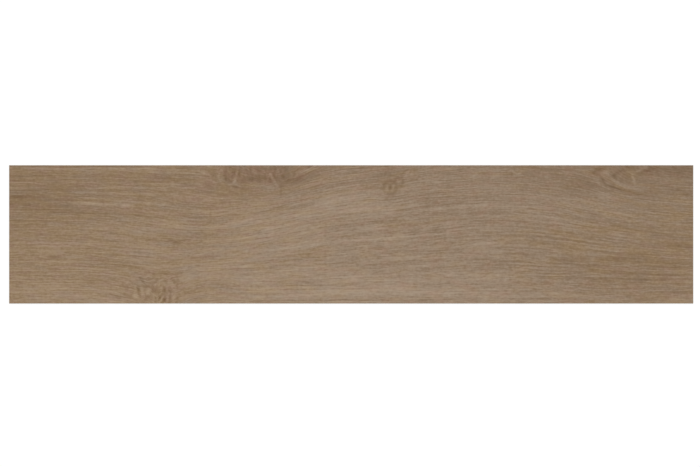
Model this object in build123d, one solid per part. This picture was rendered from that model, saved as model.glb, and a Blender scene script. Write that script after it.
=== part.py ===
from build123d import *

import os

# A glue-down vinyl floor plank: one pressed and die-cut sheet, square at its corners and butt-jointed
# on all four sides, with a fine bevel mitred round the arris of its wear face.
#
# The origin is the centre of the underside. X runs along the length and the printed grain, Y across
# the width, and Z up through the thickness to the wear face. All sizes are in millimetres.

# Driving dimensions
PLANK_LENGTH = 915.0
PLANK_WIDTH = 185.0
PLANK_THICKNESS = 2.5
BEVEL_RUN = 0.6  # how far the bevel reaches in from the edge, seen from above
BEVEL_DROP = 0.35  # how far it comes down the edge from the wear face

PARTS_FOLDER = "parts"


def make_plank() -> Part:
    """The cut sheet, lying on its glued face, with the bevel round all four sides of its wear face."""
    with BuildPart() as plank:
        with BuildSketch(Plane.XY):
            Rectangle(PLANK_LENGTH, PLANK_WIDTH)
        extrude(amount=PLANK_THICKNESS)
        wear_face = plank.faces().sort_by(Axis.Z)[-1]
        chamfer(wear_face.edges(), length=BEVEL_RUN, length2=BEVEL_DROP, reference=wear_face)
    return plank.part


def main() -> None:
    """Builds the plank and writes it as its own node."""
    os.makedirs(PARTS_FOLDER, exist_ok=True)
    export_step(make_plank(), os.path.join(PARTS_FOLDER, "plank.step"))


main()
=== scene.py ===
"""The looks of a glue-down vinyl floor plank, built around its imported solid.

The plank is one pressed sheet: a clear embossed wear layer over a printed oak film, a chalk-filled core and
a backing. The print, the embossing and the gloss all follow one oak figure, so the pressed grain lies in
register with the printed one. The figure's lengths are millimetres from the middle of the plank, +X to the
right and +Y to the far edge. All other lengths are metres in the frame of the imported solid.
"""

import logging
import math
from dataclasses import dataclass, replace
from enum import Enum

import bpy
import numpy as np
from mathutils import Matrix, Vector

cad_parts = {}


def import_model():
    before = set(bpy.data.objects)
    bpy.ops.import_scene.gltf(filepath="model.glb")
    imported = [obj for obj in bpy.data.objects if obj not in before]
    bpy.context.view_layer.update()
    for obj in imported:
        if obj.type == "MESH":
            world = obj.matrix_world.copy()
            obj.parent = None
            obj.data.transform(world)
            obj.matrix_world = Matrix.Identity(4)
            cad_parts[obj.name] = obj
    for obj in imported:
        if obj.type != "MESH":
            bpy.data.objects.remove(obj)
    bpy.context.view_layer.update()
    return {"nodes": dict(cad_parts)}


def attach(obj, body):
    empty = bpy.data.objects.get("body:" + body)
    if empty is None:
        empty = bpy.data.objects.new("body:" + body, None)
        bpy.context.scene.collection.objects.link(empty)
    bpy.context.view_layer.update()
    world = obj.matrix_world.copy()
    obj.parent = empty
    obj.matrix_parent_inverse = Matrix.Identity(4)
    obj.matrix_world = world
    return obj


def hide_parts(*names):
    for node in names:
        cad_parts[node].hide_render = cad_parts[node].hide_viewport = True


LOG = logging.getLogger("plank")
MM = 0.001
TINY = 0.01 * MM  # points closer than this are one point
BODY = "root"
NODE = "plank"
SIDES = (("X", "Length"), ("Y", "Width"))  # the sheet's size along each axis of its face
WHITE = "#FFFFFF"
MIDDLE = 0.5  # what a noise swings about, and the tone halfway from the darkest wood to the palest
WAVE_PITCH = math.tau / 20  # how far apart a Wave texture of scale 1 draws its bands

# What can go into a node's input: a socket, a node for its first output, or a value
Link = bpy.types.Node | bpy.types.NodeSocket | float | int | bool | tuple | str


def linear(colour: str) -> tuple[float, float, float, float]:
    """Turns an sRGB hex colour to linear.

    Args:
        colour: six hex digits after a #.

    Returns:
        Linear red, green, blue and a full alpha.
    """
    levels = [int(colour[i:i + 2], 16) / 255 for i in (1, 3, 5)]
    red, green, blue = (c / 12.92 if c <= 0.04045 else ((c + 0.055) / 1.055) ** 2.4 for c in levels)
    return red, green, blue, 1.0


def feed(node: bpy.types.Node, links: dict[str | int, Link]) -> None:
    """Links or sets a node's inputs.

    Args:
        node: the node that is fed.
        links: what goes into each input, by its name or number.
    """
    for name, value in links.items():
        if isinstance(value, bpy.types.Node):
            value = value.outputs[0]
        if isinstance(value, bpy.types.NodeSocket):
            node.id_data.links.new(value, node.inputs[name])
        else:
            node.inputs[name].default_value = value


def add_node(
    tree: bpy.types.NodeTree, kind: str, links: dict[str | int, Link] | None = None, **settings: object
) -> bpy.types.Node:
    """Adds one node with its settings and links.

    Args:
        tree: the tree that gets the node.
        kind: the node's type name.
        links: what goes into each input, by its name or number.
        **settings: the node's own properties.

    Returns:
        The new node.
    """
    node = tree.nodes.new(kind)
    for name, value in settings.items():
        setattr(node, name, value)
    feed(node, links or {})
    return node


def new_finish(name: str) -> tuple[bpy.types.Material, bpy.types.NodeTree, Link]:
    """Starts a finish.

    Args:
        name: what the real one is made of, and how it was made.

    Returns:
        The material, its tree, and the point that its patterns are drawn at, in metres.
    """
    material = bpy.data.materials.new(name)
    material.use_nodes = True
    tree = material.node_tree
    return material, tree, add_node(tree, "ShaderNodeTexCoord").outputs["Object"]


@dataclass(frozen=True)
class Spot:
    """A soft-edged oval on the wear face, in millimetres.

    along and across place its middle, reach and spread are how far from there it has faded to about a
    third, amount is its strength in the middle, in the unit of what it changes, and turn is how many degrees
    its reach is turned anticlockwise from the length of the plank.
    """

    along: float
    across: float
    reach: float
    spread: float
    amount: float
    turn: float = 0.0

    def strength_at(self, along: float, across: float) -> float:
        """The strength of an unturned oval at one point."""
        far = ((along - self.along) / self.reach) ** 2 + ((across - self.across) / self.spread) ** 2
        return self.amount * math.exp(-far)


def add_spots(tree: bpy.types.NodeTree, place: Link, spots: tuple[Spot, ...], start: Link = 0.0) -> Link:
    """Adds the nodes that sum soft ovals.

    Args:
        tree: the tree that gets the nodes.
        place: the point in millimetres, as a vector.
        spots: the ovals.
        start: what they are added to. It joins last, because a renderer has little room for the parts of a
            long sum that has to wait for its beginning.

    Returns:
        The sum at that point.
    """
    total = 0.0
    for spot in spots:
        middle = (spot.along, spot.across, 0)
        seen = place
        if spot.turn:
            angle = -math.radians(spot.turn)
            links = {"Vector": place, "Center": middle, "Angle": angle}
            seen = add_node(tree, "ShaderNodeVectorRotate", links, rotation_type="Z_AXIS")
        scale = (1 / spot.reach, 1 / spot.spread, 0)
        shift = (-spot.along / spot.reach, -spot.across / spot.spread, 0)
        links = {0: seen, 1: scale, 2: shift}
        offset = add_node(tree, "ShaderNodeVectorMath", links, operation="MULTIPLY_ADD")
        far = add_node(tree, "ShaderNodeVectorMath", {0: offset, 1: offset}, operation="DOT_PRODUCT")
        fade = add_node(tree, "ShaderNodeMath", {0: 1 / math.e, 1: far.outputs["Value"]}, operation="POWER")
        links = {0: fade, 1: spot.amount, 2: total}
        total = add_node(tree, "ShaderNodeMath", links, operation="MULTIPLY_ADD")
    return add_node(tree, "ShaderNodeMath", {0: total, 1: start})


@dataclass(frozen=True)
class GrainLayer:
    """One scale of the wood's texture: marks of about this length and width along the grain.

    Both are millimetres. start is where in the endless pattern the layer begins, so that no two layers show
    the same marks.
    """

    length: float
    width: float
    start: float
    detail: float = 1.0
    rough: float = 0.5

    def add(self, tree: bpy.types.NodeTree, grain: Link) -> bpy.types.Node:
        """Adds the nodes that draw this layer.

        Args:
            tree: the tree that gets the nodes.
            grain: the place along and across the grain in millimetres, as a vector.

        Returns:
            The node whose first output is the layer, from 0 to 1 about a middle of 0.5.
        """
        scale = (1 / self.length, 1 / self.width, 0)
        window = (self.start, -self.start, 0)
        links = {0: grain, 1: scale, 2: window}
        place = add_node(tree, "ShaderNodeVectorMath", links, operation="MULTIPLY_ADD")
        inputs = {"Vector": place, "Scale": 1.0, "Detail": self.detail, "Roughness": self.rough}
        return add_node(tree, "ShaderNodeTexNoise", inputs, noise_dimensions="2D")

    def add_drift(self, tree: bpy.types.NodeTree, place: Link, strength: Link) -> bpy.types.Node:
        """Adds the nodes that turn this layer into a drift of a point along and across the plank.

        Args:
            tree: the tree that gets the nodes.
            place: the point in millimetres, as a vector.
            strength: how far the drift goes at most, in millimetres.

        Returns:
            The node that gives the drift as a vector.
        """
        marks = self.add(tree, place).outputs["Color"]
        middle = (MIDDLE, MIDDLE, MIDDLE)
        ways = add_node(tree, "ShaderNodeVectorMath", {0: marks, 1: middle}, operation="SUBTRACT")
        return add_node(tree, "ShaderNodeVectorMath", {0: ways, "Scale": strength}, operation="SCALE")


@dataclass(frozen=True)
class Grain:
    """What the figure gives at a point: its place on the plank, that place unsettled a little by the wood's
    unevenness, its place along and across the grain, and how knotted the wood is there, from 0 to 1."""

    place: Link
    unsettled: Link
    lines: Link
    knots: Link


@dataclass(frozen=True)
class OakFigure:
    """How the oak's grain runs over the plank.

    bends push the grain lines towards the near edge where they swing round a knot or along the feather, or
    towards the far edge over the crown. knots are where the lines tangle, and every line wavers a little.
    """

    bends: tuple[Spot, ...] = (
        Spot(-104, 100, 40, 28, 30),  # under the large knot at the far edge
        Spot(-105, 60, 80, 34, 12),  # the long run out of that knot to the right
        Spot(-190, 8, 70, 58, 8),  # the hollow below it, gentler to the left
        Spot(-235, 8, 120, 58, 7),
        Spot(-10, 20, 90, 50, -8),  # the first rise of the crown
        Spot(200, 40, 190, 80, -32),  # the crown in the middle of the right half
        Spot(54, 62, 26, 30, 3.5),  # round the pin knot
        Spot(420, 55, 110, 40, 7),  # down from the feather
        Spot(370, 74, 30, 22, 14),  # the feather's ridge, which runs out at the right end
        Spot(412, 82, 38, 28, 13),
        Spot(462, 94, 46, 40, 16),
        Spot(520, 94, 50, 42, 20),
        Spot(-256, -100, 24, 22, 12),  # into the burr at the near edge
        Spot(-262, -80, 50, 36, 11),
        Spot(-185, -60, 40, 40, -4),  # and out of it
    )
    knots: tuple[Spot, ...] = (
        Spot(-160, 84, 24, 18, 0.8),
        Spot(-104, 80, 27, 18, 1.0),
        Spot(-258, -78, 28, 20, 1.0),
        Spot(-227, -9, 17, 6, 0.35),
    )
    waver: float = 2.4
    waver_layer: GrainLayer = GrainLayer(80.0, 26.0, 3.7)
    tangle: float = 16.0
    tangle_layer: GrainLayer = GrainLayer(10.0, 10.0, 8.1)
    unsettling: float = 0.12

    def across_at(self, along: float, across: float) -> float:
        """Where a point of the plank lies across the grain.

        Args:
            along: the point's distance along the plank.
            across: its distance across the plank.

        Returns:
            Its distance across the grain, before any waver.
        """
        return across + sum(bend.strength_at(along, across) for bend in self.bends)

    def on_grain(self, spots: tuple[Spot, ...]) -> tuple[Spot, ...]:
        """Ovals given by their place on the plank, moved to their place on the grain to follow it."""
        return tuple(replace(spot, across=self.across_at(spot.along, spot.across)) for spot in spots)

    def add(self, tree: bpy.types.NodeTree, position: Link) -> Grain:
        """Adds the nodes that work out the figure.

        Args:
            tree: the tree that gets the nodes.
            position: the point in metres, as a vector.

        Returns:
            The figure at that point.
        """
        place = add_node(tree, "ShaderNodeVectorMath", {0: position, "Scale": 1 / MM}, operation="SCALE")
        axes = add_node(tree, "ShaderNodeSeparateXYZ", {0: place}).outputs
        knots = add_spots(tree, place, self.knots)
        waver = self.waver_layer.add_drift(tree, place, self.waver)
        strength = add_node(tree, "ShaderNodeMath", {0: knots, 1: self.tangle}, operation="MULTIPLY")
        tangle = self.tangle_layer.add_drift(tree, place, strength)
        drift = add_node(tree, "ShaderNodeVectorMath", {0: waver, 1: tangle})
        across = add_spots(tree, place, self.bends, axes["Y"])
        smooth = add_node(tree, "ShaderNodeCombineXYZ", {"X": axes["X"], "Y": across})
        lines = add_node(tree, "ShaderNodeVectorMath", {0: smooth, 1: drift})
        links = {0: drift, 1: (self.unsettling, self.unsettling, 0), 2: place}
        unsettled = add_node(tree, "ShaderNodeVectorMath", links, operation="MULTIPLY_ADD")
        return Grain(place, unsettled, lines, knots)


class Surface(Enum):
    """The three faces that a cut sheet shows."""

    WEAR = "Wear Finish"
    CUT = "Cut Finish"
    BACK = "Back Finish"


FIBRES = GrainLayer(16.0, 1.8, 41.3)
RINGS = GrainLayer(64.0, 2.6, 12.6)


@dataclass(frozen=True)
class OakPrint:
    """Printed PVC film under a clear wear layer, calendered, embossed and finished with matt lacquer.

    It gives the eye greyed, lime-washed oak: fine fibres a few millimetres wide, broad drifts of paler and
    darker wood, warm at the ends and grey in the middle, and a soft sheen that breaks along the pressed
    grain. Its pale middle and darker far edge are partly the wood's tone and partly painted light, falling
    off towards the ends and the far edge. Tones run from 0, the darkest wood, to 1, the palest.
    """

    figure: OakFigure
    width: float
    warm: tuple[str, str, str] = ("#694B20", "#886E4D", "#A78F72")
    grey: tuple[str, str, str] = ("#664B2A", "#856E55", "#A38F79")
    rosy: tuple[str, str, str] = ("#6A492A", "#896C53", "#A78D77")
    ior: float = 1.5
    smooth: float = 0.46
    rough: float = 0.58
    pore_layer: GrainLayer = GrainLayer(9.0, 1.0, 88.8)
    pore_depth: float = 0.03 * MM
    layers: tuple[tuple[GrainLayer, float], ...] = (
        (GrainLayer(130.0, 13.0, 5.2), 0.21),
        (GrainLayer(90.0, 8.5, 70.4), 0.16),
        (GrainLayer(200.0, 1.8, 33.1), 0.35),
        (RINGS, 0.34),
        (FIBRES, 0.46),
    )
    speck_layer: GrainLayer = GrainLayer(5.5, 1.7, 77.9)
    speck_contrast: float = 0.38
    speck_bend: float = 0.5
    flake_layer: GrainLayer = GrainLayer(3.2, 4.5, 18.2)
    flake_contrast: float = 0.21
    curl_layer: GrainLayer = GrainLayer(4.8, 9.0, 52.7)
    curl_contrast: float = 0.60
    contrasts: tuple[Spot, ...] = (
        Spot(-160, 80, 26, 16, -0.45),  # the lines give way to curls in the large knot
        Spot(-100, 80, 34, 16, -0.50),
        Spot(-258, -78, 26, 18, -0.35),  # and in the burr
        Spot(57, 65, 17, 14, -0.60),  # and lie smooth round the pin knot
        Spot(362, 76, 28, 14, -0.45),  # and in the feather
        Spot(425, 85, 45, 10, -0.20),
        Spot(380, -55, 90, 22, 0.15),  # and are sharpest near the right end
    )
    # partly the wood's tone and partly painted shade: how much darker the far edge is than the near one
    far_edge_tone_and_shade: float = 0.21
    clouds_and_painted_light: tuple[Spot, ...] = (
        Spot(-82, -20, 320, 300, 0.24),  # the pale middle of the plank, partly the wood's tone and partly a painted pool of light that fades towards the ends
        Spot(-122, 86, 60, 24, -0.14),  # dark wood round the large knot
        Spot(-160, 80, 24, 16, -0.09),
        Spot(-105, 81, 34, 16, -0.12),
        Spot(-95, 84, 12, 6, -0.06),
        Spot(-72, 77, 18, 12, -0.05),
        Spot(-58, 77, 20, 7, -0.08),
        Spot(-258, -80, 38, 22, -0.13),  # and round the burr
        Spot(314, 64.5, 17, 6, -0.12),  # ahead of the feather
        Spot(420, 88, 40, 8, -0.11),  # inside the feather
        Spot(455, 84, 24, 9, -0.11),
        Spot(-384, 38, 36, 13, -0.08),  # and faint drifts over the rest of the plank
        Spot(-425, 38, 60, 40, -0.05),
        Spot(-227, 0, 50, 80, -0.07),
        Spot(190, 76, 105, 28, 0.06),
        Spot(330, 38, 110, 26, 0.10),
        Spot(56, 72, 17, 14, -0.05),
        Spot(12, 38, 45, 22, 0.10),
        Spot(380, -45, 75, 30, -0.10),
        Spot(-30, -30, 80, 26, -0.05),
        Spot(130, -78, 110, 20, 0.05),
        Spot(-432, -80, 40, 25, 0.06),
        Spot(130, 36, 110, 18, 0.04),
        Spot(-130, -36, 220, 18, -0.025),
        Spot(-360, 35, 70, 16, -0.03),
        Spot(-180, -75, 60, 20, -0.085),
        Spot(-130, 50, 60, 14, -0.04),
        Spot(20, 80, 42, 14, -0.095),
        Spot(-226, 80, 26, 14, -0.05),
        Spot(227, 36, 44, 18, 0.035),
        Spot(-330, -36, 60, 18, -0.02),
        Spot(227, -36, 40, 16, -0.025),
        Spot(425, -54, 36, 34, -0.045),
        Spot(15, 0, 150, 16, -0.045),
        Spot(-356, -74, 30, 18, -0.03),
        Spot(-275, 35, 45, 16, -0.025),
        Spot(325, 0, 60, 16, 0.02),
        Spot(-228, 2, 30, 12, 0.02),
        Spot(97, -36, 40, 14, -0.015),
        Spot(118, 41, 28, 12, -0.045),
        Spot(65, 41, 26, 12, 0.035),
        Spot(-162, 44, 34, 14, -0.025),
    )
    streaks: tuple[Spot, ...] = (
        # At the left end
        Spot(-325, 88.0, 110, 1.3, 0.22),
        Spot(-430, 68.5, 36, 1.5, 0.20),
        Spot(-430, 58.0, 36, 1.2, -0.15),
        Spot(-431, 49.5, 30, 3.4, -0.10),
        Spot(-352, 41.3, 20, 1.7, 0.30),
        Spot(-300, 39.0, 13, 2.0, 0.20),
        Spot(-305, 5.5, 40, 1.4, 0.22),
        Spot(-384, -11.5, 75, 1.7, 0.22),
        Spot(-399, -23.5, 17, 2.6, 0.20),
        Spot(-395, -30.0, 15, 2.2, -0.32),
        Spot(-303, -41.5, 22, 1.8, -0.24),
        # In the hollow below the large knot and on the rise beside it
        Spot(-227, 11.0, 16, 4.0, 0.12),
        Spot(-32, 41.0, 16, 7.0, 0.14),
        Spot(-59, 25.0, 20, 9.0, 0.12),
        Spot(-151, 16.5, 30, 2.2, 0.20),
        Spot(-100, 9.5, 25, 2.2, 0.19),
        Spot(20, -6.0, 110, 1.4, 0.18),
        Spot(-18, 2.0, 30, 1.8, 0.16),
        # Below the pin knot
        Spot(72, 32.0, 22, 2.4, -0.22),
        Spot(102, 37.0, 8, 4.0, -0.16),
        Spot(77, 20.5, 13, 3.0, 0.18),
        Spot(27, 8.5, 16, 2.6, 0.18),
        # Along the near edge
        Spot(7, -88.0, 190, 1.6, -0.18),
        Spot(-32, -74.2, 28, 1.5, 0.16),
        Spot(55, -73.5, 20, 1.6, 0.14),
        Spot(-5, -79.0, 45, 1.3, 0.12),
        # Towards the right end
        Spot(283, -34.0, 22, 1.7, -0.28),
        Spot(230, -29.0, 12, 2.4, -0.20),
        Spot(346, 51.0, 24, 4.0, 0.12),
        Spot(390, -52.5, 70, 1.3, -0.17),
        Spot(345, -57.0, 24, 1.3, 0.18),
        Spot(392, -60.5, 65, 1.3, -0.20),
        Spot(400, -66.5, 55, 1.3, 0.13),
        Spot(319, 22.0, 60, 2.0, -0.12),
    )
    strokes: tuple[Spot, ...] = (
        # The large knot's left eye, standing upright between pale hoops
        Spot(-186, 82, 6.0, 4.5, -0.15),
        Spot(-173.5, 85.5, 4.5, 1.7, 0.20, 65),
        Spot(-177, 78, 4.5, 1.8, 0.21, 88),
        Spot(-175, 71.3, 4.0, 1.7, 0.18, -57),
        Spot(-168, 75.5, 6.0, 1.8, -0.21, 100),
        Spot(-164, 78, 10.0, 5.0, -0.13, 90),
        Spot(-159.5, 77, 6.5, 1.6, -0.18, 85),
        Spot(-155.8, 84, 4.0, 1.4, -0.18, 80),
        Spot(-152.8, 84, 4.5, 1.6, 0.23, 80),
        Spot(-150, 82, 4.0, 1.6, -0.15, 75),
        Spot(-155, 72, 5.0, 1.5, 0.25, 55),
        Spot(-145.5, 72, 6.5, 4.0, -0.26),
        Spot(-154, 63.8, 5.0, 1.7, -0.20, -22),
        Spot(-143, 62, 6.0, 4.0, -0.08),
        # Its right half, a crowd of upright curls
        Spot(-134.5, 84.7, 4.5, 1.6, -0.18, 88),
        Spot(-132, 84, 3.5, 1.4, 0.13, 88),
        Spot(-132, 73, 5.0, 4.2, -0.27),
        Spot(-122, 73, 5.0, 4.2, -0.25),
        Spot(-123, 84.7, 5.0, 2.0, -0.15, 75),
        Spot(-115.5, 82.7, 4.5, 1.5, 0.18, -37),
        Spot(-113.5, 75.4, 3.5, 2.4, -0.21, 80),
        Spot(-110, 77, 4.5, 1.4, 0.23, 70),
        Spot(-106.5, 77, 4.5, 1.4, 0.18, -66),
        Spot(-107.5, 71.3, 4.0, 2.0, -0.23, 90),
        Spot(-102, 76, 7.0, 1.8, -0.23, -61),
        Spot(-106, 88, 4.0, 2.2, -0.13),
        Spot(-99, 86, 4.0, 1.6, 0.15, 80),
        Spot(-96, 81, 4.5, 1.5, 0.15, -70),
        Spot(-89.5, 74.5, 8.0, 6.0, -0.25, 90),
        Spot(-92, 84, 3.5, 1.3, 0.16, 70),
        Spot(-85, 87, 4.0, 2.0, -0.12),
        Spot(-80.7, 82, 3.5, 1.4, 0.16, -60),
        Spot(-76, 80.5, 3.2, 1.6, -0.17, 80),
        Spot(-93.5, 65, 4.5, 1.9, -0.26, 85),
        Spot(-94, 56, 6.0, 1.5, -0.20, 88),
        Spot(-109, 59.5, 9.0, 4.0, 0.13),
        # and the lines that sweep out of it
        Spot(-78.5, 72, 6.0, 4.0, -0.12, 20),
        Spot(-69, 73.5, 6.0, 5.0, -0.12),
        Spot(-64, 84.8, 13.0, 1.5, 0.20, 14),
        Spot(-55.5, 90.3, 4.5, 1.7, -0.30),
        Spot(-52.5, 67.7, 14.0, 1.6, 0.14, 14),
        Spot(-103, 34.5, 17.0, 1.5, -0.32, 13),
        Spot(-196, 81.3, 8.0, 1.5, 0.28, -20),
        # The pin knot: its eye, the dark ring round it, and the half ring of its twin
        Spot(52.2, 63, 2.0, 2.5, -0.33),
        Spot(52.2, 63, 10.0, 9.5, -0.09),
        Spot(48.2, 62.8, 2.8, 1.3, 0.15, 90),
        Spot(56.4, 63, 2.8, 1.3, 0.14, 90),
        Spot(43.8, 64.5, 4.5, 1.9, -0.19, 85),
        Spot(47, 56, 4.5, 1.9, -0.13, -38),
        Spot(53, 54.3, 5.5, 1.9, -0.17),
        Spot(59.5, 58, 4.5, 2.0, -0.20, 45),
        Spot(60.5, 64, 4.0, 1.9, -0.20, 105),
        Spot(55.5, 70, 4.5, 1.9, -0.13, -30),
        Spot(47.5, 70, 5.0, 2.0, -0.23, 25),
        Spot(66.5, 65, 2.6, 2.2, -0.31),
        Spot(64, 70.2, 2.4, 2.0, 0.13),
        Spot(69.4, 70.4, 4.2, 1.8, -0.22, 95),
        Spot(58.4, 72.3, 3.4, 1.9, -0.19, 60),
        Spot(63.6, 75, 4.6, 1.7, -0.20),
        Spot(45, 80.5, 10.5, 2.0, -0.24),
        Spot(69.5, 82, 5.0, 1.3, -0.18, 43),
        Spot(74, 80.5, 4.2, 1.3, 0.20, 50),
        Spot(31, 63, 11.0, 1.6, -0.12),
        Spot(55, 51, 14.0, 2.4, -0.11),
        Spot(88.5, 74.5, 4.0, 1.3, -0.14, 35),
        Spot(95.5, 74.5, 4.0, 1.3, -0.14, -35),
        Spot(113.5, 71, 5.4, 1.5, 0.22),
        # The pale fork at the far edge, with a dark spot on either side
        Spot(217, 84, 5.0, 1.7, 0.20, -34),
        Spot(226, 82.6, 4.0, 1.6, 0.18, 39),
        Spot(214.5, 80.5, 3.0, 1.8, -0.14),
        Spot(231, 81, 3.0, 2.0, -0.13),
        # The feather: its outer arch from the upper limb round the tip and down the lower one
        Spot(286, 82.5, 8.0, 2.4, 0.10),
        Spot(329.5, 86.0, 8.0, 2.6, -0.34, 16),
        Spot(327.5, 80.7, 5.0, 1.8, -0.24, -14),
        Spot(336.5, 72.5, 6.0, 1.8, -0.30, -58),
        Spot(347, 63.8, 8.0, 1.6, -0.25, -17),
        Spot(360, 60.3, 11.0, 1.5, -0.20, -17),
        Spot(384.5, 54, 13.0, 1.4, -0.16, -12),
        Spot(330, 70, 8.0, 2.0, 0.15, -39),
        Spot(338, 63.6, 8.0, 1.3, 0.12, -24),
        Spot(341, 59.3, 10.0, 1.4, -0.16, -14),
        # the pale wood inside it
        Spot(340, 82.4, 5.0, 3.4, 0.26),
        Spot(354.5, 70, 7.5, 1.7, 0.17, -27),
        Spot(370, 63, 17.0, 1.7, 0.22, -15),
        # then the second arch, a second pale stroke and the third arch
        Spot(361, 84.7, 13.0, 3.0, -0.19, 25),
        Spot(352.5, 77, 4.0, 2.2, -0.26, -60),
        Spot(365, 76.7, 12.0, 6.5, -0.04),
        Spot(350, 67, 4.0, 1.8, -0.12, -25),
        Spot(377.7, 73.6, 7.5, 2.2, 0.30, -75),
        Spot(385, 85.5, 9.0, 2.0, 0.18, 27),
        Spot(395.5, 85, 13.0, 2.6, -0.22, 17),
        # The burr at the near edge: short curls about its heart
        Spot(-285, -73, 5.0, 1.8, -0.28, 108),
        Spot(-280, -61, 5.6, 1.8, -0.29, -49),
        Spot(-280, -74.5, 6.7, 1.7, 0.17, 95),
        Spot(-271, -75, 4.7, 2.2, 0.17, 80),
        Spot(-261.5, -76, 3.8, 3.0, -0.26),
        Spot(-250, -74.5, 4.7, 2.6, -0.29, 90),
        Spot(-243, -76, 3.5, 3.0, -0.28),
        Spot(-250, -88, 4.8, 2.2, -0.50, 60),
        Spot(-253.5, -87, 4.3, 1.4, 0.43, 60),
        Spot(-256.5, -85, 3.4, 1.6, -0.30, 60),
        Spot(-237, -62.5, 6.0, 2.0, -0.20, -45),
        Spot(-232.5, -66, 7.0, 2.0, -0.20, 85),
        Spot(-248.5, -61.5, 3.4, 2.2, -0.24),
        Spot(-246.5, -52.5, 10.0, 1.8, -0.20, -5),
        Spot(-260.5, -66.8, 3.0, 1.6, 0.20, 15),
        Spot(-271, -83, 4.0, 2.2, -0.24),
        Spot(-242.5, -86.5, 5.4, 1.9, -0.26, 85),
        Spot(-298, -82.5, 11.5, 1.7, -0.15, -20),
        Spot(-288.5, -82.5, 3.4, 2.2, 0.24),
        Spot(-262.4, -63.6, 3.2, 1.2, -0.18, 15),
        Spot(-265.2, -67.8, 2.6, 1.2, -0.16, 90),
        Spot(-260.3, -70.2, 3.2, 1.2, -0.16, 15),
        Spot(-244.4, -68, 3.4, 2.0, 0.17, 80),
        Spot(-230, -52, 7.0, 1.8, -0.18, 5),
        Spot(-263, -55, 4.5, 2.2, -0.14, -60),
        Spot(-233, -84.5, 5.0, 1.7, -0.17, 85),
        Spot(-237.5, -84, 4.5, 1.5, 0.14, 85),
        Spot(-283, -81, 4.0, 1.6, -0.20, 115),
        Spot(-275, -69.5, 3.2, 2.4, -0.14),
        Spot(-276, -87.5, 3.5, 2.4, -0.15),
        Spot(-218.5, -76.5, 6.0, 2.6, -0.12),
        Spot(-303, -72, 8.0, 1.4, -0.14, 3),
        Spot(-309.5, -84.5, 6.0, 1.5, -0.13),
        # and the small swirl above it
        Spot(-241, -7.5, 7.0, 2.0, -0.20, -25),
        Spot(-226, -8.5, 10.0, 1.7, -0.20, 10),
        Spot(-232, -12.5, 6.0, 1.7, -0.14),
    )
    greyness: tuple[Spot, ...] = (
        Spot(140, 0, 300, 400, 0.90),  # the grey middle of the plank
        Spot(200, 40, 70, 22, 0.40),  # greyer still on the crown
        Spot(400, 72, 110, 36, 0.40),  # and along the feather
        Spot(445, 84, 32, 14, 0.60),
        Spot(-258, -78, 45, 30, -0.18),  # warmer in the burr
        Spot(-430, -25, 80, 45, -0.25),  # and at the left end
        Spot(-155, 48, 34, 15, -0.50),  # and below the large knot
        Spot(-104, 80, 26, 16, 0.45),  # greyer in its right half
        Spot(55, 65, 20, 14, -0.40),  # warmer in the pin knot
        Spot(368, 80, 22, 12, -0.30),  # and in the feather's tip
        Spot(-345, 46, 40, 30, 0.35),  # and in a few broad drifts
        Spot(300, -12, 95, 32, -0.35),
        Spot(-400, 40, 60, 22, 0.18),
        Spot(18, 74, 24, 14, 0.25),
    )
    rosiness: tuple[Spot, ...] = (
        Spot(-160, 82, 28, 16, 0.25),  # in the large knot
        Spot(-95, 82, 42, 15, 0.50),
        Spot(-205, 56, 18, 20, 0.35),  # and to its left
        Spot(430, 36, 80, 24, -0.50),  # less below the feather
        Spot(55, 63, 22, 14, -0.15),  # and in the pin knot
        Spot(16, 74, 24, 14, 0.25),  # more to its left
        Spot(250, -25, 120, 50, -0.22),  # less on the crown's flank
        Spot(-127, 73, 10, 7, 0.40),  # more in and below the large knot
        Spot(-162, 44, 30, 16, 0.30),
        Spot(-258, -74, 32, 20, 0.25),  # and in the burr
    )
    blush_layer: GrainLayer = GrainLayer(22.0, 10.0, 27.3)
    blush_contrast: float = 2.3
    hue_layer: GrainLayer = GrainLayer(34.0, 11.0, 61.8)
    hue_contrast: float = 2.4
    drift_start: float = 0.1

    def dress(self) -> bpy.types.Material:
        """Makes the finish.

        Returns:
            The material of the wear face.
        """
        material, tree, position = new_finish("oak_printed_pvc_matt_lacquered")
        grain = self.figure.add(tree, position)

        # Tone: the layers of grain, stronger in some places than in others.
        marks = [(layer.add(tree, grain.lines), weight) for layer, weight in self.layers]
        fibres = marks[-1][0]
        lines = self._sum_of(tree, marks)
        contrast = add_spots(tree, grain.place, self.contrasts, 1.0)
        links = {0: lines, 1: contrast, 2: MIDDLE}
        tone = add_node(tree, "ShaderNodeMath", links, operation="MULTIPLY_ADD")

        # Specks that follow the grain halfway, flakes that lie straight, and the knots' curls.
        links = {"Factor": self.speck_bend, 4: grain.place, 5: grain.lines}
        eased = add_node(tree, "ShaderNodeMix", links, data_type="VECTOR").outputs[1]
        specks = (self.speck_layer.add(tree, eased), self.speck_contrast)
        flakes = (self.flake_layer.add(tree, grain.unsettled), self.flake_contrast)
        tone = self._sum_of(tree, [specks, flakes], tone)
        curls = self._sum_of(tree, [(self.curl_layer.add(tree, grain.unsettled), self.curl_contrast)])
        links = {0: curls, 1: grain.knots, 2: tone}
        tone = add_node(tree, "ShaderNodeMath", links, operation="MULTIPLY_ADD")

        # The far edge lies darker than the near one, partly the wood's own tone and partly painted shade,
        # the light falling off across the plank.
        side = add_node(tree, "ShaderNodeSeparateXYZ", {0: position}).outputs["Y"]
        fall = -self.far_edge_tone_and_shade / self.width
        tone = add_node(tree, "ShaderNodeMath", {0: side, 1: fall, 2: tone}, operation="MULTIPLY_ADD")

        # What is in one place only, among it a painted pool of light over the middle of the plank.
        tone = add_spots(tree, grain.place, self.clouds_and_painted_light, tone)
        tone = add_spots(tree, grain.lines, self.figure.on_grain(self.streaks), tone)
        tone = add_spots(tree, grain.unsettled, self.strokes, tone)

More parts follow.
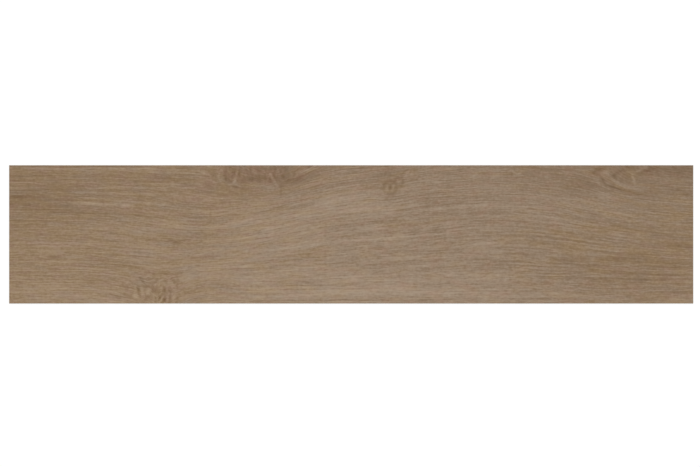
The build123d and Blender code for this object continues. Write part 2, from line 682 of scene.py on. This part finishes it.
        # Hue: warm, grey and rosy wood in drifts.
        colour = self._ramp(tree, tone, self.warm)
        for layer, strength, spots, colours in (
            (self.hue_layer, self.hue_contrast, self.greyness, self.grey),
            (self.blush_layer, self.blush_contrast, self.rosiness, self.rosy),
        ):
            drift = self._sum_of(tree, [(layer.add(tree, grain.lines), strength)], self.drift_start)
            share = add_node(tree, "ShaderNodeClamp", {0: add_spots(tree, grain.place, spots, drift)})
            links = {"Factor": share, 6: colour, 7: self._ramp(tree, tone, colours)}
            colour = add_node(tree, "ShaderNodeMix", links, data_type="RGBA").outputs[2]

        # Sheen: the lacquer lies duller in the pressed fibres.
        links = {"Value": fibres, "To Min": self.rough, "To Max": self.smooth}
        gloss = add_node(tree, "ShaderNodeMapRange", links)

        # Pores, about half a millimetre wide in oak, drawn twice as wide so that they show at all.
        pores = self.pore_layer.add(tree, grain.lines)
        links = {"Height": pores, "Distance": self.pore_depth, "Strength": 1.0}
        bump = add_node(tree, "ShaderNodeBump", links)
        links = {"Base Color": colour, "Roughness": gloss, "IOR": self.ior, "Normal": bump}
        feed(tree.nodes["Principled BSDF"], links)
        return material

    @staticmethod
    def _sum_of(tree: bpy.types.NodeTree, marks: list[tuple[Link, float]], start: Link = 0.0) -> Link:
        """Adds the nodes that sum texture layers about their middles.

        Args:
            tree: the tree that gets the nodes.
            marks: each layer with its weight.
            start: what the sum begins from.

        Returns:
            The sum.
        """
        total = start
        for mark, weight in marks:
            swing = add_node(tree, "ShaderNodeMath", {0: mark, 1: MIDDLE}, operation="SUBTRACT")
            links = {0: swing, 1: weight, 2: total}
            total = add_node(tree, "ShaderNodeMath", links, operation="MULTIPLY_ADD")
        return total

    @staticmethod
    def _ramp(tree: bpy.types.NodeTree, tone: Link, colours: tuple[str, str, str]) -> bpy.types.Node:
        """Adds a ramp of three even colours, from the darkest wood to the palest.

        Args:
            tree: the tree that gets the node.
            tone: what the ramp is read at.
            colours: the colours at tones 0, 0.5 and 1.

        Returns:
            The ramp.
        """
        ramp = add_node(tree, "ShaderNodeValToRGB", {0: tone})
        ramp.color_ramp.elements.new(MIDDLE)
        for stop, colour in zip(ramp.color_ramp.elements, colours, strict=True):
            stop.color = linear(colour)
        return ramp


@dataclass(frozen=True)
class CutCore:
    """Chalk-filled PVC, die-cut: the sheet's edge, with its layers one above the other.

    It gives the eye a dull grey-beige band with fine upright drag marks of the blade, a darker backing below
    and the brown of the film and the wear layer on top.
    """

    thickness: float
    layers: tuple[tuple[float, str], ...] = (
        (0.0, "#5E5B56"),
        (0.24, "#5E5B56"),
        (0.27, "#8F887C"),
        (0.70, "#8F887C"),
        (0.73, "#6B5238"),
        (0.84, "#7C654B"),
    )
    rough: float = 0.62
    chalk_grain: float = 0.9 * MM
    chalk_tones: tuple[float, float] = (0.82, 1.18)
    drag_pitch: float = 0.8 * MM
    drag_length: float = 8 * MM
    drag_depth: float = 0.02 * MM

    def dress(self) -> bpy.types.Material:
        """Makes the finish.

        Returns:
            The material of the four cut edges.
        """
        material, tree, position = new_finish("chalk_filled_pvc_die_cut")
        height = add_node(tree, "ShaderNodeSeparateXYZ", {0: position}).outputs["Z"]
        level = add_node(tree, "ShaderNodeMath", {0: height, 1: self.thickness}, operation="DIVIDE")
        ramp = add_node(tree, "ShaderNodeValToRGB", {0: level})
        stops = ramp.color_ramp.elements
        for place, _ in self.layers[1:-1]:
            stops.new(place)
        for stop, (place, colour) in zip(stops, self.layers, strict=True):
            stop.position = place
            stop.color = linear(colour)
        links = {"Vector": position, "Scale": 1 / self.chalk_grain, "Detail": 2.0}
        speck = add_node(tree, "ShaderNodeTexNoise", links)
        darkest, palest = self.chalk_tones
        chalk = add_node(tree, "ShaderNodeMapRange", {"Value": speck, "To Min": darkest, "To Max": palest})
        links = {"Factor": 1.0, 6: ramp, 7: chalk}
        mix = add_node(tree, "ShaderNodeMix", links, data_type="RGBA", blend_type="MULTIPLY")
        scale = (1 / self.drag_pitch, 1 / self.drag_pitch, 1 / self.drag_length)
        upright = add_node(tree, "ShaderNodeVectorMath", {0: position, 1: scale}, operation="MULTIPLY")
        drag = add_node(tree, "ShaderNodeTexNoise", {"Vector": upright, "Scale": 1.0, "Detail": 1.0})
        bump = add_node(tree, "ShaderNodeBump", {"Height": drag, "Distance": self.drag_depth})
        links = {"Base Color": mix.outputs[2], "Roughness": self.rough, "Normal": bump}
        feed(tree.nodes["Principled BSDF"], links)
        return material


@dataclass(frozen=True)
class Backing:
    """Recycled PVC, calendered between a smooth and a linen-faced roll: the glued side of the sheet.

    It gives the eye a dull mid grey, slightly clouded, with a fine crossed texture that keys the glue.
    """

    colour: str = "#6E6B66"
    clouded: str = "#7C7973"
    rough: float = 0.7
    cloud_size: float = 30 * MM
    weave_pitch: float = 1.6 * MM
    weave_depth: float = 0.05 * MM

    def dress(self) -> bpy.types.Material:
        """Makes the finish.

        Returns:
            The material of the underside.
        """
        material, tree, position = new_finish("recycled_pvc_linen_calendered")
        links = {"Vector": position, "Scale": 1 / self.cloud_size, "Detail": 6.0}
        cloud = add_node(tree, "ShaderNodeTexNoise", links)
        links = {"Factor": cloud, 6: linear(self.colour), 7: linear(self.clouded)}
        mix = add_node(tree, "ShaderNodeMix", links, data_type="RGBA")
        links = {"Vector": position, "Scale": WAVE_PITCH / self.weave_pitch}
        along = add_node(tree, "ShaderNodeTexWave", links, bands_direction="X")
        across = add_node(tree, "ShaderNodeTexWave", links, bands_direction="Y")
        links = {0: along.outputs["Fac"], 1: across.outputs["Fac"]}
        weave = add_node(tree, "ShaderNodeMath", links, operation="MULTIPLY")
        bump = add_node(tree, "ShaderNodeBump", {"Height": weave, "Distance": self.weave_depth})
        links = {"Base Color": mix.outputs[2], "Roughness": self.rough, "Normal": bump}
        feed(tree.nodes["Principled BSDF"], links)
        return material


@dataclass(frozen=True)
class SheetSizes:
    """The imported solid's own sizes, in metres."""

    length: float
    width: float
    thickness: float
    bevel_run: float
    bevel_drop: float

    @classmethod
    def of_node(cls, node: bpy.types.Object) -> "SheetSizes":
        """Reads the sizes from a node of the frame.

        Args:
            node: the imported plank, lying on its back with its middle at the origin.

        Returns:
            Its sizes.
        """
        points = np.array([vertex.co for vertex in node.data.vertices])
        low, high = points.min(0), points.max(0)
        wear_face = points[points[:, 2] > high[2] - TINY]
        end_face = points[points[:, 0] > high[0] - TINY]
        length, width, thickness = (float(size) for size in high - low)
        run = float(high[0] - wear_face[:, 0].max())
        drop = float(high[2] - end_face[:, 2].max())
        return cls(length, width, thickness, run, drop)


@dataclass
class PressedSheet:
    """The plank: one closed sheet with an embossed wear face, a bevel, cut edges and a flat back.

    The face is pressed in fully where its rings and fibres add up to pressed_fully or less, and not at all
    from pressed_none on. Within arris_fade of its arris the pressing fades out.
    """

    sizes: SheetSizes
    figure: OakFigure
    finishes: dict[Surface, bpy.types.Material]
    emboss_depth: float = 0.07 * MM
    pressed_fully: float = 0.75
    pressed_none: float = 1.15
    arris_fade: float = 2.0 * MM
    columns: int = 384
    rows: int = 238
    name: str = "oak_vinyl_sheet"

    def build(self) -> bpy.types.Object:
        """Shapes the sheet and puts it in the scene as a plain mesh.

        Returns:
            The finished piece.
        """
        tree = self._shape_tree()
        sheet = bpy.data.objects.new(self.name, bpy.data.meshes.new(self.name))
        bpy.context.scene.collection.objects.link(sheet)
        modifier = sheet.modifiers.new("shape", "NODES")
        modifier.node_group = tree
        sizes = self.sizes
        given = {
            "Length": sizes.length,
            "Width": sizes.width,
            "Thickness": sizes.thickness,
            "Bevel Run": sizes.bevel_run,
            "Bevel Drop": sizes.bevel_drop,
            "Emboss Depth": self.emboss_depth,
            "Arris Fade": self.arris_fade,
            "Columns": self.columns,
            "Rows": self.rows,
            **{surface.value: self.finishes[surface] for surface in Surface},
        }
        for item in tree.interface.items_tree:
            if item.in_out == "INPUT":
                modifier[item.identifier] = given[item.name]
        graph = bpy.context.evaluated_depsgraph_get()
        shaped = bpy.data.meshes.new_from_object(sheet.evaluated_get(graph))
        sheet.modifiers.remove(modifier)
        shaped.materials.pop(index=0)  # the grid's own empty slot
        sheet.data = shaped
        shaped.name = self.name
        return sheet

    def dress(self, sheet: bpy.types.Object) -> None:
        """Sets the piece on the body that it rides on and hides the imported solid."""
        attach(sheet, BODY)
        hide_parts(NODE)

    def _shape_tree(self) -> bpy.types.NodeTree:
        """Builds the Geometry Nodes tree of the sheet.

        Returns:
            The tree, with a named input for each size and finish.
        """
        tree = bpy.data.node_groups.new("pressed_sheet", "GeometryNodeTree")
        tree.is_modifier = True
        lengths = ("Length", "Width", "Thickness", "Bevel Run", "Bevel Drop", "Emboss Depth", "Arris Fade")
        kinds = {
            "NodeSocketFloat": lengths,
            "NodeSocketInt": ("Columns", "Rows"),
            "NodeSocketMaterial": tuple(surface.value for surface in Surface),
        }
        for kind, names in kinds.items():
            for name in names:
                tree.interface.new_socket(name, in_out="INPUT", socket_type=kind)
        tree.interface.new_socket("Geometry", in_out="OUTPUT", socket_type="NodeSocketGeometry")
        given = add_node(tree, "NodeGroupInput").outputs
        inner = {}
        for axis, name in SIDES:
            links = {0: given["Bevel Run"], 1: -2.0, 2: given[name]}
            inner[axis] = add_node(tree, "ShaderNodeMath", links, operation="MULTIPLY_ADD")
        mesh = self._wear_face(tree, given, inner)

        # The rim: down the bevel, down the cut edge, then in to a ridge line along the middle of the back.
        place = add_node(tree, "GeometryNodeInputPosition")
        axes = add_node(tree, "ShaderNodeSeparateXYZ", {0: place}).outputs
        links = {0: given["Thickness"], 1: given["Bevel Drop"]}
        lip_at = {"Z": add_node(tree, "ShaderNodeMath", links, operation="SUBTRACT")}
        for axis, name in SIDES:
            scale = add_node(tree, "ShaderNodeMath", {0: given[name], 1: inner[axis]}, operation="DIVIDE")
            lip_at[axis] = add_node(tree, "ShaderNodeMath", {0: axes[axis], 1: scale}, operation="MULTIPLY")
        lip = add_node(tree, "ShaderNodeCombineXYZ", lip_at)
        foot = add_node(tree, "ShaderNodeCombineXYZ", {"X": axes["X"], "Y": axes["Y"]})
        links = {0: given["Length"], 1: given["Width"]}
        spare = add_node(tree, "ShaderNodeMath", links, operation="SUBTRACT")
        ridge_end = add_node(tree, "ShaderNodeMath", {0: spare, 1: 0.5}, operation="MULTIPLY")
        ridge_start = add_node(tree, "ShaderNodeMath", {0: spare, 1: -0.5}, operation="MULTIPLY")
        held = add_node(tree, "ShaderNodeClamp", {"Value": axes["X"], "Min": ridge_start, "Max": ridge_end})
        ridge = add_node(tree, "ShaderNodeCombineXYZ", {"X": held})

        neighbours = add_node(tree, "GeometryNodeInputMeshEdgeNeighbors")
        links = {2: neighbours, 3: 1}
        open_edge = add_node(tree, "FunctionNodeCompare", links, data_type="INT", operation="EQUAL")
        edges = open_edge.outputs[0]
        bands = []
        for goal in (lip, foot, ridge):
            links = {"Mesh": mesh, "Selection": edges, "Offset Scale": 0.0}
            drawn = add_node(tree, "GeometryNodeExtrudeMesh", links, mode="EDGES").outputs
            edges = drawn["Top"]
            bands.append(drawn["Side"])
            links = {"Geometry": drawn["Mesh"], "Selection": edges, "Position": goal}
            mesh = add_node(tree, "GeometryNodeSetPosition", links)
        bevel, cut, back = bands
        mesh = add_node(tree, "GeometryNodeMergeByDistance", {"Geometry": mesh, "Distance": TINY})
        rim = bevel
        for band in (cut, back):
            rim = add_node(tree, "FunctionNodeBooleanMath", {0: rim, 1: band}, operation="OR")
        links = {0: mesh, "Selection": rim, "Shade Smooth": False}
        mesh = add_node(tree, "GeometryNodeSetShadeSmooth", links)
        mesh = self._bake_map(tree, given, mesh, cut, back)
        mesh = add_node(tree, "GeometryNodeRealizeInstances", {0: mesh})
        for surface, faces in ((Surface.WEAR, True), (Surface.CUT, cut), (Surface.BACK, back)):
            links = {"Geometry": mesh, "Selection": faces, "Material": given[surface.value]}
            mesh = add_node(tree, "GeometryNodeSetMaterial", links)
        add_node(tree, "NodeGroupOutput", {0: mesh})
        return tree

    def _wear_face(
        self, tree: bpy.types.NodeTree, given: bpy.types.NodeOutputs, inner: dict[str, Link]
    ) -> Link:
        """Adds the nodes of the wear face, pressed along the grain and flat at its arris.

        Args:
            tree: the sheet's tree.
            given: the tree's inputs.
            inner: the face's own length and width, inside the bevel, by their axes.

        Returns:
            The face as an open mesh.
        """
        links = {f"Size {axis}": side for axis, side in inner.items()}
        links |= {"Vertices X": given["Columns"], "Vertices Y": given["Rows"]}
        grid = add_node(tree, "GeometryNodeMeshGrid", links)
        smooth = add_node(tree, "GeometryNodeSetShadeSmooth", {0: grid, "Shade Smooth": True})

        position = add_node(tree, "GeometryNodeInputPosition")
        grain = self.figure.add(tree, position)
        rings = RINGS.add(tree, grain.lines)
        fibres = FIBRES.add(tree, grain.lines)
        valley = add_node(tree, "ShaderNodeMath", {0: rings, 1: fibres})
        links = {"Value": valley, "From Min": self.pressed_fully, "From Max": self.pressed_none}
        pressed = add_node(tree, "ShaderNodeMapRange", links | {"To Min": 1.0, "To Max": 0.0})
        axes = add_node(tree, "ShaderNodeSeparateXYZ", {0: position}).outputs
        gaps = []
        for axis, side in inner.items():
            half = add_node(tree, "ShaderNodeMath", {0: side, 1: 0.5}, operation="MULTIPLY")
            out = add_node(tree, "ShaderNodeMath", {0: axes[axis]}, operation="ABSOLUTE")
            gaps.append(add_node(tree, "ShaderNodeMath", {0: half, 1: out}, operation="SUBTRACT"))
        gap = add_node(tree, "ShaderNodeMath", {0: gaps[0], 1: gaps[1]}, operation="MINIMUM")
        fade = add_node(tree, "ShaderNodeMapRange", {"Value": gap, "From Max": given["Arris Fade"]})
        depth = add_node(tree, "ShaderNodeMath", {0: pressed, 1: fade}, operation="MULTIPLY")
        sink = add_node(tree, "ShaderNodeMath", {0: depth, 1: given["Emboss Depth"]}, operation="MULTIPLY")
        height = add_node(tree, "ShaderNodeMath", {0: given["Thickness"], 1: sink}, operation="SUBTRACT")
        lift = add_node(tree, "ShaderNodeCombineXYZ", {"Z": height})
        return add_node(tree, "GeometryNodeSetPosition", {"Geometry": smooth, "Offset": lift})

    @staticmethod
    def _bake_map(
        tree: bpy.types.NodeTree, given: bpy.types.NodeOutputs, mesh: Link, cut: Link, back: Link
    ) -> Link:
        """Adds the nodes that lay the sheet out flat, with most of the room for the wear face.

        Args:
            tree: the sheet's tree.
            given: the tree's inputs.
            mesh: the closed sheet.
            cut: which of its faces are cut edges.
            back: which of its faces are the back.

        Returns:
            The sheet with its map.
        """
        wear_low, wear_high = 0.30, 0.998
        back_low, back_high = 0.06, 0.28
        edge_low, edge_high = 0.004, 0.05
        edges = 4
        edge_fill = 0.8  # how much of its strip an edge takes up
        place = add_node(tree, "GeometryNodeInputPosition")
        axes = add_node(tree, "ShaderNodeSeparateXYZ", {0: place}).outputs
        shares = {}
        for axis, name in SIDES:
            share = add_node(tree, "ShaderNodeMath", {0: axes[axis], 1: given[name]}, operation="DIVIDE")
            shares[axis] = add_node(tree, "ShaderNodeMath", {0: share, 1: 0.5})
        spots = []
        for low, high in ((wear_low, wear_high), (back_low, back_high)):
            up = add_node(tree, "ShaderNodeMapRange", {"Value": shares["Y"], "To Min": low, "To Max": high})
            spots.append(add_node(tree, "ShaderNodeCombineXYZ", {"X": shares["X"], "Y": up}))
        # Each edge is a strip of its own, from the lowest: near, far, left and right.
        normal = add_node(tree, "GeometryNodeInputNormal")
        faces = add_node(tree, "ShaderNodeSeparateXYZ", {0: normal}).outputs
        is_end = add_node(tree, "ShaderNodeMath", {0: faces["X"]}, operation="ABSOLUTE")
        side = add_node(tree, "ShaderNodeMath", {0: faces["X"], 1: faces["Y"]})
        is_upper = add_node(tree, "ShaderNodeMath", {0: side, 1: 0.5, 2: 0.5}, operation="MULTIPLY_ADD")
        strip = add_node(tree, "ShaderNodeMath", {0: is_end, 1: 2.0, 2: is_upper}, operation="MULTIPLY_ADD")
        rise = add_node(tree, "ShaderNodeMath", {0: axes["Z"], 1: given["Thickness"]}, operation="DIVIDE")
        links = {0: rise, 1: edge_fill, 2: strip}
        level = add_node(tree, "ShaderNodeMath", links, operation="MULTIPLY_ADD")
        links = {"Value": level, "From Max": edges - 1 + edge_fill, "To Min": edge_low, "To Max": edge_high}
        up = add_node(tree, "ShaderNodeMapRange", links)
        run = add_node(tree, "ShaderNodeMix", {"Factor": is_end, 2: shares["X"], 3: shares["Y"]})
        edge_spot = add_node(tree, "ShaderNodeCombineXYZ", {"X": run, "Y": up})
        spot = spots[0]
        for band, other in ((cut, edge_spot), (back, spots[1])):
            links = {"Switch": band, "False": spot, "True": other}
            spot = add_node(tree, "GeometryNodeSwitch", links, input_type="VECTOR")
        links = {"Geometry": mesh, "Name": "OFBake", "Value": spot}
        kind = {"data_type": "FLOAT2", "domain": "CORNER"}
        return add_node(tree, "GeometryNodeStoreNamedAttribute", links, **kind)


@dataclass(frozen=True)
class Softbox:
    """A lamp that stands so far off that it lights the whole plank alike.

    level is its share of the light on a level face, towards is the way that its light goes, and softness is
    how wide it looks from the plank, in degrees.
    """

    name: str
    level: float
    towards: tuple[float, float, float]
    softness: float
    distance: float = 2.0

    def build(self) -> None:
        """Hangs the lamp over the plank."""
        way = Vector(self.towards).normalized()
        data = bpy.data.lights.new(self.name, "SUN")
        data.energy = self.level * math.pi / -way.z
        data.angle = math.radians(self.softness)
        lamp = bpy.data.objects.new(self.name, data)
        lamp.rotation_mode = "QUATERNION"
        lamp.rotation_quaternion = way.to_track_quat("-Z", "Y")
        lamp.location = way * -self.distance
        bpy.context.scene.collection.objects.link(lamp)


@dataclass
class Studio:
    """A white table under even, soft light, and a camera that looks straight down, as in the photograph.

    The edges of the plank in the photograph's frame, in pixels, set where the camera stands.
    """

    sizes: SheetSizes
    frame_width: float = 700.0
    frame_height: float = 467.0
    left: float = 9.1
    right: float = 693.3
    top: float = 165.0
    bottom: float = 303.8
    lens: float = 100.0
    sensor: float = 36.0
    world_level: float = 0.52
    lamps: tuple[Softbox, ...] = (
        Softbox("key_softbox", 0.27, (0.35, -0.75, -1.0), 35.0),
        Softbox("fill_softbox", 0.11, (-0.6, 0.5, -1.0), 60.0),
    )
    floor_reach: float = 12.0
    floor_gap: float = 0.05 * MM
    floor_paint: str = "#E7E7E7"
    floor_glow: float = 1.1
    glow_share: float = 0.8

    def build(self) -> None:
        """Makes the camera, the lights and the floor."""
        bpy.context.scene.view_settings.view_transform = "Standard"
        self._camera()
        self._world()
        for lamp in self.lamps:
            lamp.build()
        self._floor()

    def _camera(self) -> None:
        """Stands the camera where the plank fills the frame as it does in the photograph."""
        scale = self.sizes.length / (self.right - self.left)
        off_right = (self.left + self.right - self.frame_width) / 2 * scale
        off_down = (self.top + self.bottom - self.frame_height) / 2 * scale
        distance = self.frame_width * scale * self.lens / self.sensor
        data = bpy.data.cameras.new("camera")
        data.lens = self.lens
        data.sensor_width = self.sensor
        camera = bpy.data.objects.new("camera", data)
        camera.location = (-off_right, off_down, self.sizes.thickness + distance)
        bpy.context.scene.collection.objects.link(camera)
        bpy.context.scene.camera = camera

    @staticmethod
    def _seen(tree: bpy.types.NodeTree) -> Link:
        """Adds the nodes that tell what the eye sees, straight or in a reflection, from what only lights.

        Args:
            tree: the tree that gets the nodes.

        Returns:
            1 for a ray that the eye sees by, otherwise 0.
        """
        rays = add_node(tree, "ShaderNodeLightPath").outputs
        seen = rays["Is Camera Ray"]
        for kind in ("Is Glossy Ray", "Is Transmission Ray"):
            seen = add_node(tree, "ShaderNodeMath", {0: seen, 1: rays[kind]}, operation="MAXIMUM")
        return seen

    def _world(self) -> None:
        """A white surround that lights the plank at its own level."""
        world = bpy.data.worlds.new("white_surround")
        world.use_nodes = True
        bpy.context.scene.world = world
        tree = world.node_tree
        links = {"Value": self._seen(tree), "To Min": self.world_level, "To Max": 1.0}
        level = add_node(tree, "ShaderNodeMapRange", links)
        feed(tree.nodes["Background"], {"Color": linear(WHITE), "Strength": level})

    def _floor(self) -> None:
        """A plain white table top that takes the plank's shadow."""
        reach = self.floor_reach
        mesh = bpy.data.meshes.new("floor")
        ways = ((-1, -1), (1, -1), (1, 1), (-1, 1))
        corners = [(x * reach, y * reach, -self.floor_gap) for x, y in ways]
        mesh.from_pydata(corners, [], [(0, 1, 2, 3)])
        floor = bpy.data.objects.new("floor", mesh)
        bpy.context.scene.collection.objects.link(floor)
        material = bpy.data.materials.new("white_table_top_matt_painted")
        material.use_nodes = True
        tree = material.node_tree
        tree.nodes.remove(tree.nodes["Principled BSDF"])
        paint = add_node(tree, "ShaderNodeBsdfDiffuse", {"Color": linear(self.floor_paint)})
        glow = add_node(tree, "ShaderNodeEmission", {"Color": linear(WHITE), "Strength": self.floor_glow})
        links = {0: self._seen(tree), 1: self.glow_share}
        share = add_node(tree, "ShaderNodeMath", links, operation="MULTIPLY")
        mixed = add_node(tree, "ShaderNodeMixShader", {0: share, 1: paint, 2: glow})
        feed(tree.nodes["Material Output"], {"Surface": mixed})
        mesh.materials.append(material)


def main() -> None:
    """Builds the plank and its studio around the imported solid."""
    logging.basicConfig(level=logging.INFO, format="%(name)s: %(message)s")
    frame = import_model()
    sizes = SheetSizes.of_node(frame["nodes"][NODE])
    LOG.info("packed solid: %s", sizes)

    figure = OakFigure()
    finishes = {
        Surface.WEAR: OakPrint(figure, sizes.width).dress(),
        Surface.CUT: CutCore(sizes.thickness).dress(),
        Surface.BACK: Backing().dress(),
    }
    plank = PressedSheet(sizes, figure, finishes)
    sheet = plank.build()
    plank.dress(sheet)
    triangles = sum(len(face.vertices) - 2 for face in sheet.data.polygons)
    LOG.info("%s: %d triangles, finishes %s", sheet.name, triangles, [m.name for m in sheet.data.materials])
    Studio(sizes).build()


if __name__ == "__main__":
    main()
